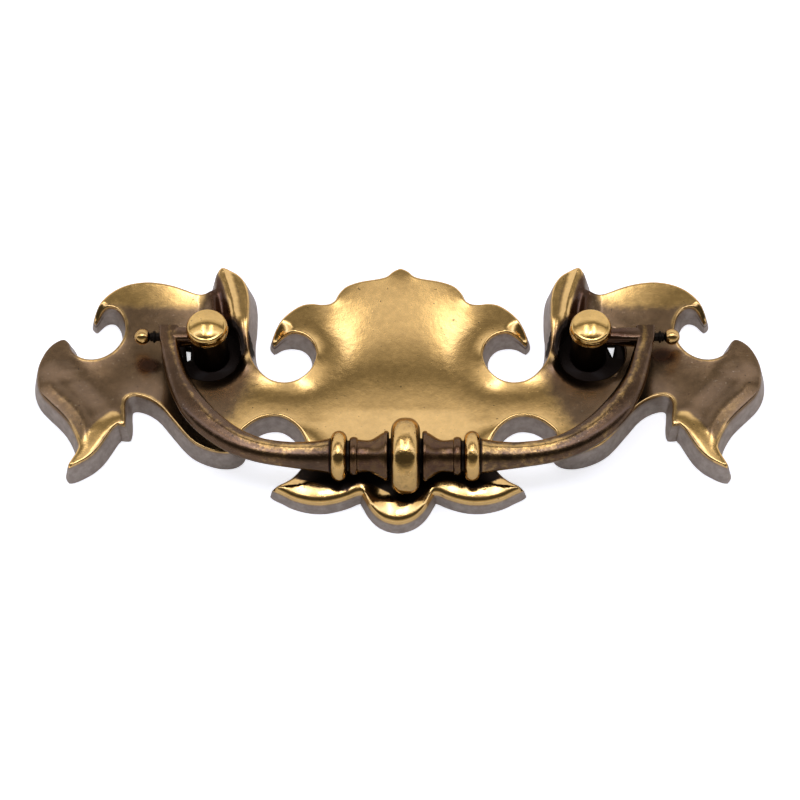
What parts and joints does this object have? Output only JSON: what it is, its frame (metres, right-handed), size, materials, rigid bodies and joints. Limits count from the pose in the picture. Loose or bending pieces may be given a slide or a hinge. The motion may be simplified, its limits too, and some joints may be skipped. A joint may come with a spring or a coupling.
{
  "type": "bail pull",
  "caption": "Drawer bail pull with a pierced cast backplate, two turned posts and a swinging bail handle with a ringed grip.",
  "frame": {"origin": "midway between the two screw holes, on the face of the backplate that meets the drawer front", "axes": "+Z out of the drawer front, +X along the line of the two screw holes, towards the right post as seen from the front, and the bail hangs towards -Y"},
  "size_m": [0.147, 0.0595, 0.0183],
  "materials": {
    "backplate": "antique brass, polished on the high parts and dark in the low ones",
    "posts": "antique brass, dark in the neck and rubbed bright on the head",
    "bail": "antique brass, brown lacquer rubbed through on the ridges"
  },
  "bodies": {
    "plate": {"backplate": "backplate", "left_post": "posts", "right_post": "posts"},
    "bail": {"bail": "bail"}
  },
  "joints": [
    {"name": "bail_swing", "type": "hinge", "parent": "plate", "child": "bail", "pos_m": [0, 0, 0.0096], "axis": [-1, 0, 0], "range_deg": [0, 176]}
  ]
}
